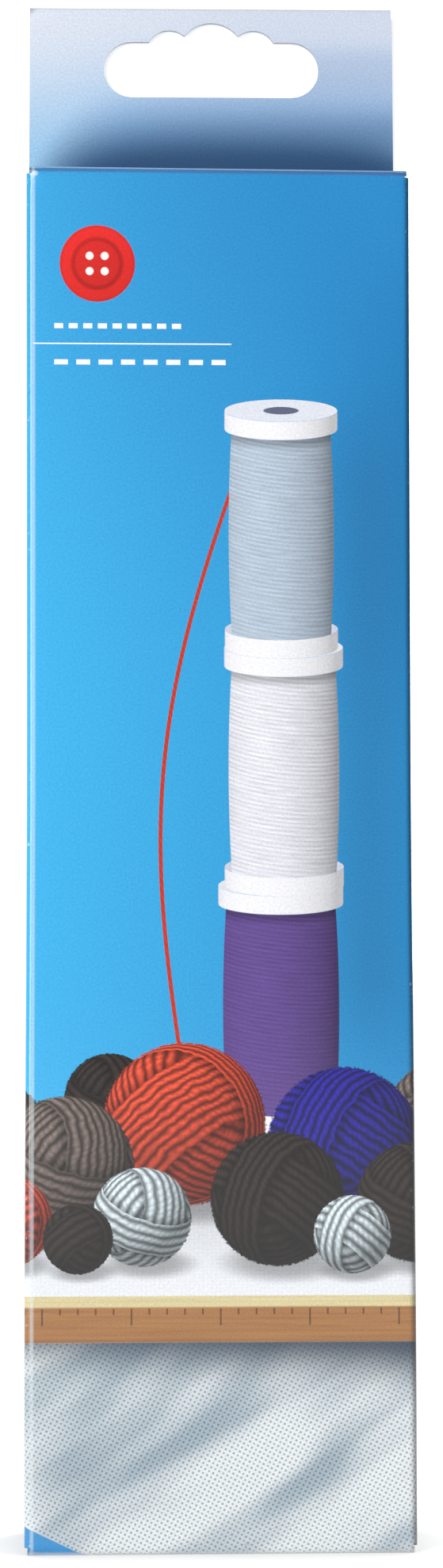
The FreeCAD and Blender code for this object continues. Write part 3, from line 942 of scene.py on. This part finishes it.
# %% [markdown]
# The canvas gets its holes from two cosines across each other, and its folds from noise stretched
# along one direction. The ruler throws a soft shade on its upper part.

# %% Open-weave canvas
CANVAS_PITCH, CANVAS_TURN, FOLD_TURN = 0.63, math.radians(-28), math.radians(34)


def turned_axes(u, v, angle):
    """The place along and across a direction that is turned by the angle."""
    cosine, sine = math.cos(angle), math.sin(angle)
    return u * cosine + v * sine, v * cosine - u * sine


def print_canvas(nodes, under, u, v):
    a, b = turned_axes(u, v, CANVAS_TURN)
    wave = 2 * math.pi / CANVAS_PITCH
    hole = ((a * wave).cosine() * 0.5 + 0.5) * ((b * wave).cosine() * 0.5 + 0.5)
    over_and_under = (a * (wave / 2)).cosine() * (b * (wave / 2)).cosine()
    along, across = turned_axes(u, v, FOLD_TURN)
    stretched = nodes.combine(X=along * 0.035, Y=across * 0.13, Z=0.37)
    fold = nodes.noise(stretched, 1.0, 1.5).step(0.33, 0.66)
    cloth = nodes.mix(fold, rgb(160, 178, 190), rgb(232, 238, 241))
    cloth = nodes.scaled(cloth, over_and_under * 0.04 + 1.03 - hole.step(0.22, 0.85) * 0.55)
    cast = (v + (u - 5.0) * 0.05).step(19.0, 30.5) ** 2
    cloth = nodes.mix(cast * 0.95, cloth, rgb(40, 58, 78))
    blue_corner = 1 - (u + v * 2.1).step(-19.3, -18.9)
    cloth = nodes.mix(blue_corner, cloth, rgb(56, 150, 212))
    return nodes.mix(1 - v.step(RULER_FOOT - 0.05, RULER_FOOT + 0.1), under, cloth)


print("the canvas has a hole every %.2f mm" % CANVAS_PITCH)

# %% [markdown]
# A red button and two rows of running stitch fill the upper left, with a thin rule between the
# rows. A red thread hangs in one long curve from the top reel down to the heap.

# %% Button, stitches and thread
# Each row's height, its number of stitches, and the length from one to the next.
STITCH_ROWS = ((172.4, 9, 2.1), (167.3, 8, 3.2))
THREAD_FOOT, THREAD_TOP = 69.0, 153.0


def print_button(nodes, under, u, v, middle, height, radius):
    x, y = (u - middle) / radius, (v - height) / radius
    reach = (x * x + y * y).root()
    light = (y * 0.10 - x * 0.06) + 1.0
    rim = reach.between(0.68, 0.94, 0.05)
    red = nodes.scaled(rgb(214, 38, 34), light + rim * 0.16 - reach.between(0.58, 0.7, 0.04) * 0.28)
    hole = (abs(x) - 0.2) ** 2 + (abs(y) - 0.2) ** 2
    red = nodes.mix(1 - hole.step(0.008, 0.014), red, rgb(250, 246, 244))
    return nodes.mix(1 - reach.step(0.985, 1.015), under, red)


def print_stitches(nodes, under, u, v):
    white = rgb(250, 252, 255)
    for height, stitches, length in STITCH_ROWS:
        share = (u + 23.4) / length
        dash = (abs(share.maths("FRACT") - 0.31) < 0.31) * share.between(-0.02, stitches - 0.1, 0.01)
        under = nodes.mix(dash * abs(v - height).between(-1, 0.36, 0.06), under, white)
    rule = abs(v - 169.9).between(-1.0, 0.09, 0.04) * u.between(-26.5, 1.8, 0.04)
    return nodes.mix(rule, under, white)


def print_thread(nodes, under, u, v):
    share = (v - THREAD_FOOT) / (THREAD_TOP - THREAD_FOOT)
    path = share * 8.5 - 5.5 - (share * math.pi).sine() * 6.5
    line = (1 - abs(u - path).step(0.24, 0.34)) * v.between(THREAD_FOOT, THREAD_TOP, 0.1)
    twist = ((v + u * 2.0) * 5.0).sine() * 0.12 + 0.95
    return nodes.mix(line, under, nodes.scaled(rgb(206, 58, 40), twist))


def print_shade(nodes, under, u, v):
    """The soft shade that the reels throw on the ground at their right."""
    shade = (1 - abs((u - 21.0) / 11.0).step(0.0, 1.0)) * v.between(72.0, 158.0, 10.0)
    return nodes.mix(shade * 0.45, under, rgb(38, 104, 158))


print("stitches in each row:", [stitches for _, stitches, _ in STITCH_ROWS])

# %% [markdown]
# ## The list of motifs
#
# A plate draws only what lies on it. So each motif is listed with its box on the blank, and a
# plate takes the motifs whose box it touches. A little spare width on each side lets neighbouring
# plates agree at their border.

# %% Motifs from back to front
REELS = [(8.6, 60.0, 8.8, rgb(106, 80, 152)), (9.1, 93.5, 8.4, rgb(240, 240, 248)),
         (8.8, 127.0, 8.0, rgb(190, 206, 222))]
REEL_HEIGHT, REEL_ABOVE, REEL_BELOW = 33.5, 36, 2
ALL_ROUND, SHADOW_REACH, SPARE = 99, 1.28, 0.2

# Each motif: what draws it, its box on the blank, and its own values.
MOTIFS = [(print_shade, (9, 33, 60, 170), ()),
          (print_button, (-23, -11, 175, 188), (-17.2, 181.2, 5.4)),
          (print_stitches, (-27, 3, 166, 174), ()),
          (print_linen, (-ALL_ROUND, ALL_ROUND, 36, 53), ()),
          (print_thread, (-9, 4, THREAD_FOOT, THREAD_TOP), ())]
for middle, foot, half, thread in REELS:
    box = (middle - half, middle + half, foot - REEL_BELOW, foot + REEL_ABOVE)
    MOTIFS.append((print_reel, box, (middle, foot, half, REEL_HEIGHT, thread)))
for number, (middle, height, radius, yarn) in enumerate(HEAP):
    box = (middle - radius, middle + radius, height - SHADOW_REACH * radius, height + radius)
    MOTIFS.append((print_ball, box, (number,)))
MOTIFS += [(print_ruler, (-ALL_ROUND, ALL_ROUND, 29, 36.1), ()),
           (print_canvas, (-ALL_ROUND, ALL_ROUND, -30, 29.7), ())]
print("the print has", len(MOTIFS), "motifs")


def touches(box, plate):
    """Whether a motif's box reaches into a plate, or close to it."""
    return (box[0] < plate[1] + SPARE and box[1] > plate[0] - SPARE
            and box[2] < plate[3] + SPARE and box[3] > plate[2] - SPARE)


# %% [markdown]
# ## Finishes
#
# The outside is printed, then coated, so it shines. Along the creases it is worn: the coat is
# rubbed off in flecks near the ends, where the white lining shows. The creases also get painted
# light and shade: a painted highlight along the left one and at the front's top left corner, a
# painted light line along the bottom one, and painted shade on the right one.

# %% Wear on the print
def print_wear_and_painted_light(nodes, colour, place, u, v):
    """The worn print, painted light and shade on the creases, and how far the coat is rubbed off."""
    crease_line = 1 - abs(abs(u) - (FRONT + QUARTER * 0.5)).step(0.1, 0.8)
    ends = abs(v * (2 / HEIGHT) - 1).maths("MINIMUM", 1.0) ** 24
    flecks = nodes.noise(place, 0.9, 2.0) + ends * 0.1
    rubbed = flecks.step(0.66, 0.76) * crease_line
    # Painted highlight: a pale band along the left front crease, where the key light gleams.
    stretched = 1 - abs(u + (FRONT - 0.12)).step(0.08, 0.42)
    colour = nodes.mix(stretched * 0.38, colour, rgb(240, 250, 255))
    # Painted highlight on the front's top left corner, where the key light catches it.
    corner_highlight_reach = ((u + (FRONT - 0.2)) ** 2 + ((v - (LID_CREASE - 0.2)) * 1.4) ** 2).root()
    colour = nodes.mix((1 - corner_highlight_reach.step(0.1, 0.9)) * 0.85, colour, rgb(232, 246, 255))
    # Painted light: a light line along the bottom crease lightens its underside, which gets little
    # light.
    foot = v.between(-1.2, 0.35, 0.3)
    colour = nodes.mix(foot * 0.55, colour, rgb(246, 246, 248))
    colour = nodes.mix(rubbed * 0.5, colour, rgb(226, 236, 244))
    # Painted shade: the right front crease and the wall just past it, which turn away from the light.
    painted_crease_shade = u.step(FRONT - 0.35, FRONT + 0.85) * (1 - u.step(FRONT + 1.4, FRONT + 2.6))
    return nodes.scaled(colour, 1 - painted_crease_shade * 0.55), rubbed


# %% [markdown]
# The printed finish puts it together: the ground, the plate's motifs from back to front, the wear
# with its painted light and shade, and the board's fine grain. Where the coat is rubbed off, the
# surface is rougher and has no gloss.

# %% The printed finish
def make_print(plate, area=None):
    """The printed finish, with the motifs that lie on this plate's area of the blank."""
    material, nodes = new_material("gloss_print_" + plate)
    place, u, v, _ = blank_place(nodes)
    if plate.startswith("heap"):
        nodes.wool = wool_noises(nodes, place)
    colour = print_ground(nodes, u, v)
    for draw, box, values in MOTIFS:
        if area and touches(box, area):
            colour = draw(nodes, colour, u, v, *values)
    colour, rubbed = print_wear_and_painted_light(nodes, colour, place, u, v)
    grain = nodes.noise(place, 3.2, 1.0)
    colour = nodes.scaled(colour, grain * 0.36 + 0.82)
    bump = nodes.add("ShaderNodeBump", {"Strength": 0.10, "Distance": 0.00002, "Height": grain})
    shader = nodes.add("ShaderNodeBsdfPrincipled", {
        "Base Color": colour, "Roughness": rubbed * 0.3 + 0.4, "Specular IOR Level": 0.12,
        "Coat Weight": 1 - rubbed, "Coat Roughness": 0.11, "Coat IOR": 1.5, "Normal": bump})
    nodes.add("ShaderNodeOutputMaterial", {"Surface": shader})
    print("the", plate, "plate has", len(material.node_tree.nodes), "nodes")
    return material


# %% [markdown]
# The inside is bare recycled board, with short fibres and darker specks. Noise stretched along one
# direction gives the fibres. On a cut edge the thin white lining lies over the grey middle, and
# the place kept from the flat sheet tells how deep in the board a point lies.

# %% Bare board, and all the finishes
def make_board(name, layered):
    """Bare recycled board; layered gives the cut edge its white lining next to the print."""
    material, nodes = new_material(name)
    place, _, _, into_board = blank_place(nodes)
    fibres = nodes.noise(nodes.vector("MULTIPLY", place, (1.0, 0.45, 1.0)), 2.2, 4.0)
    if layered:
        dark, light = rgb(190, 186, 178), rgb(218, 216, 210)
    else:
        dark, light = rgb(158, 148, 134), rgb(192, 182, 166)
    colour = nodes.mix(fibres.step(0.3, 0.7), dark, light)
    specks = nodes.noise(place, 3.1, 2.0).step(0.68, 0.74)
    colour = nodes.mix(specks * 0.5, colour, rgb(112, 100, 90))
    if layered:
        colour = nodes.mix(into_board.step(-0.14, -0.08), colour, rgb(238, 240, 242))
    bump = nodes.add("ShaderNodeBump", {"Strength": 0.35, "Distance": 0.00004, "Height": fibres})
    shader = nodes.add("ShaderNodeBsdfPrincipled", {
        "Base Color": colour, "Roughness": 0.85, "Normal": bump})
    nodes.add("ShaderNodeOutputMaterial", {"Surface": shader})
    return material


finishes = {"Print": make_print("plain")}
finishes.update((plate, make_print(plate, area)) for plate, area in PLATES.items())
finishes.update({"Inside": make_board("board_inside", False), "Cut edge": make_board("cut_edge", True)})

# %% [markdown]
# ## Folding the sheets
#
# Each blank is folded by its own tree, with the finishes given as inputs. The result is kept as a
# plain mesh. Its smooth shading stops at the cut corners, so that the board's edges stay crisp.

# %% Fold the three sheets
SHARP_FROM = math.radians(40)


def folded(name, blank, creases, materials):
    """The folded sheet as a plain mesh object in the frame, with its materials."""
    flat = bpy.data.objects.new(name + "_flat", blank)
    bpy.context.scene.collection.objects.link(flat)
    modifier = flat.modifiers.new("fold", "NODES")
    tree = make_fold_tree("fold_" + name, creases)
    modifier.node_group = tree
    for item in tree.interface.items_tree:
        if item.in_out == "INPUT" and item.name in materials:
            modifier[item.identifier] = materials[item.name]
    evaluated = flat.evaluated_get(bpy.context.evaluated_depsgraph_get())
    mesh = bpy.data.meshes.new_from_object(evaluated)
    mesh.name = name
    bpy.data.objects.remove(flat)
    sheet = bpy.data.objects.new(name, mesh)
    bpy.context.scene.collection.objects.link(sheet)
    mark_sharp(mesh)
    return sheet


def mark_sharp(mesh):
    """Smooth shading everywhere but at the sheet's cut corners."""
    shape = bmesh.new()
    shape.from_mesh(mesh)
    open_edges = sum(1 for e in shape.edges if len(e.link_faces) != 2)
    for edge in shape.edges:
        slots = {face.material_index for face in edge.link_faces}
        edge.smooth = len(slots) == 1 and edge.calc_face_angle(0.0) < SHARP_FROM
    for face in shape.faces:
        face.smooth = True
    volume = shape.calc_volume(signed=True) / MM ** 3
    shape.to_mesh(mesh)
    shape.free()
    print("%s: %d faces, %d open edges, %.1f cubic mm"
          % (mesh.name, len(mesh.polygons), open_edges, volume))


carton = folded("carton_sheet", carton_blank, carton_creases, finishes)
top_lid = folded("top_lid_sheet", top_blank, top_creases, finishes)
bottom_lid = folded("bottom_lid_sheet", bottom_blank, bottom_creases, finishes)

# %% [markdown]
# ## The sheets in the frame
#
# The carton's sheet rides on the carton body. A lid's sheet starts on the front panel and stays
# where it was folded, and the frame's parts that the sheets stand for are hidden.

# %% Seat the carton's sheet on its body, and hide the frame's parts
HALF = BOARD / 2
front_y, top_z = body_low.y * MM, HEIGHT * MM
near, far = HALF * MM, (CREASE - HALF) * MM
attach(carton, "carton")
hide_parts("carton_body")
front_y + near
top_z - CREASE * MM + near
front_y + far
top_z - near
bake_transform(top_lid)
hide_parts("top_flap")
front_y + near
CREASE * MM - near
front_y + far
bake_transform(bottom_lid)
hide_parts("bottom_flap")
for sheet in (carton, top_lid, bottom_lid):
    print(sheet.name, "is seated, with", len(sheet.data.materials), "finishes")

# %% [markdown]
# ## Camera
#
# The camera stands a little to the left of the middle and below it. Its place, angles and focal
# length were fitted to the outlines in the photograph. The printed pixels show where corners of the
# carton fall in its frame.

# %% Camera
PHOTO_WIDTH, PHOTO_HEIGHT, FOCAL_PIXELS = 559, 1980, 5500
CAMERA_PLACE = Vector((-24.2, -624.7, 82.6)) * MM
YAW, PITCH, ROLL = 2.29, 2.349, -0.131

lens = bpy.data.cameras.new("camera")
lens.sensor_width = 36.0
lens.lens = FOCAL_PIXELS / PHOTO_HEIGHT * lens.sensor_width
camera = bpy.data.objects.new("camera", lens)
turn = (Matrix.Rotation(math.radians(-YAW), 4, "Z") @ Matrix.Rotation(math.radians(90 + PITCH), 4, "X")
        @ Matrix.Rotation(math.radians(ROLL), 4, "Z"))
camera.matrix_world = Matrix.Translation(CAMERA_PLACE) @ turn
bpy.context.scene.collection.objects.link(camera)
bpy.context.scene.camera = camera


def pixel(place):
    """Where a point, in millimetres, falls in the photograph's frame."""
    p = camera.matrix_world.inverted() @ (Vector(place) * MM)
    return (round(PHOTO_WIDTH / 2 + FOCAL_PIXELS * p.x / -p.z, 1),
            round(PHOTO_HEIGHT / 2 - FOCAL_PIXELS * p.y / -p.z, 1))


print("bottom corners", pixel((-27, -12.1, 0)), pixel((27, -12.1, 0)))
print("lid crease", pixel((-26.55, -12.1, 195)), pixel((26.55, -12.1, 195)))
print("tab corners", pixel((-26.55, 12.2, 223.2)), pixel((26.55, 12.2, 223.2)))

# %% [markdown]
# ## Stage
#
# The carton stands on a white floor in front of a white wall. Both glow where the camera, a gloss
# or glass looks at them, so they read as paper white, apart from the soft shade right beside the
# board. For all other light they are plain paper.

# %% White paper for the stage
scene = bpy.context.scene
scene.view_settings.view_transform = "Standard"


def stage_plane(name, corners, material):
    mesh = bpy.data.meshes.new(name)
    mesh.from_pydata([tuple(c * MM for c in corner) for corner in corners], [], [(0, 1, 2, 3)])
    mesh.materials.append(material)
    plane = bpy.data.objects.new(name, mesh)
    scene.collection.objects.link(plane)
    return plane


def looking(nodes):
    """1 for the rays that see the backdrop: from the camera, from a gloss, or through glass."""
    from_camera = nodes.add("ShaderNodeLightPath")
    others = from_camera.other("Is Glossy Ray"), from_camera.other("Is Transmission Ray")
    return (from_camera + others[0] + others[1]).capped(), from_camera


def make_paper(name, reach, least, glow, rays, see_through):
    """White paper that glows where it is looked at, less so where something lies within reach."""
    material, nodes = new_material(name)
    seen, _ = looking(nodes)
    near = nodes.add("ShaderNodeAmbientOcclusion", {"Distance": reach * MM}, samples=rays)
    clear = near.other("AO")
    paper, shaded = (nodes.add("ShaderNodeBsdfDiffuse", {"Color": (grey, grey, grey, 1)})
                     for grey in (0.8, 0.36))
    shown = clear.maths("MAXIMUM", 0.4) * (glow - least) + least
    light = nodes.add("ShaderNodeEmission", {"Strength": shown})
    glowing = nodes.add("ShaderNodeAddShader", {0: shaded, 1: light})
    surface = nodes.add("ShaderNodeMixShader", {0: seen, 1: paper, 2: glowing})
    if see_through:
        behind = nodes.add("ShaderNodeNewGeometry").other("Backfacing")
        clear_film = nodes.add("ShaderNodeBsdfTransparent")
        surface = nodes.add("ShaderNodeMixShader", {0: behind, 1: surface, 2: clear_film})
    nodes.add("ShaderNodeOutputMaterial", {"Surface": surface})
    return material


# %% Floor and wall
FLOOR, FLOOR_Z, WALL, WALL_FOOT, WALL_Y = 2500, -0.03, 600, 3, DEPTH / 2 + 0.4
CORNERS = ((-1, -1), (1, -1), (1, 1), (-1, 1))
stage_plane("floor", [(x * FLOOR, y * FLOOR, FLOOR_Z) for x, y in CORNERS],
            make_paper("floor_paper", 20.0, 0.26, 1.02, 16, False))
wall = stage_plane("wall", [(x * WALL, WALL_Y, WALL if up > 0 else WALL_FOOT) for x, up in CORNERS],
                   make_paper("wall_paper", 1.8, 0.35, 1.0, 4, True))
wall.visible_shadow = wall.visible_diffuse = wall.visible_glossy = False
print("the wall stands at y %.1f mm" % WALL_Y)

# %% [markdown]
# The world is a dim room, a little lighter on the left and from below. A gloss sees it darker
# still, apart from a white part behind the carton, and the camera sees it white.

# %% World
world = bpy.data.worlds.new("studio")
world.use_nodes = True
world.node_tree.nodes.clear()
nodes = Nodes(world.node_tree)
seen, from_camera = looking(nodes)
towards = nodes.add("ShaderNodeTexCoord").other("Generated")
side, rear, up = nodes.split(towards)
room = 0.44 - side * 0.14 + rear * 0.02 - up * 0.14
behind = (rear - side * 0.3).step(0.55, 0.85).maths("MAXIMUM", from_camera)
dim = 0.20 - side * 0.12 - up * 0.05
strength = nodes.add("ShaderNodeMix", {"Factor": behind, "A": dim, "B": 1.0})
strength = nodes.add("ShaderNodeMix", {"Factor": seen, "A": room, "B": strength})
sky = nodes.add("ShaderNodeBackground", {"Color": (1, 1, 1, 1), "Strength": strength})
nodes.add("ShaderNodeOutputWorld", {"Surface": sky})
scene.world = world
print("the world has", len(world.node_tree.nodes), "nodes")

# %% [markdown]
# The key lamp is a wide soft box on the left, in front, so the left crease catches it and the right
# one turns away. A second soft box lights the back.

# %% Lamps
def soft_box(name, place, target, width, height, watts):
    light = bpy.data.lights.new(name, "AREA")
    light.shape, light.energy = "RECTANGLE", watts
    light.size, light.size_y = width * MM, height * MM
    lamp = bpy.data.objects.new(name, light)
    lamp.location = Vector(place) * MM
    lamp.rotation_euler = ((Vector(target) - Vector(place)) * MM).to_track_quat("-Z", "Y").to_euler()
    scene.collection.objects.link(lamp)


soft_box("key_light", (-540, -870, 270), (0, 0, 125), 480, 760, 9.3)
soft_box("rear_light", (650, 800, 420), (0, 0, 120), 600, 700, 9.0)
print("lamps:", [light.name for light in bpy.data.lights])
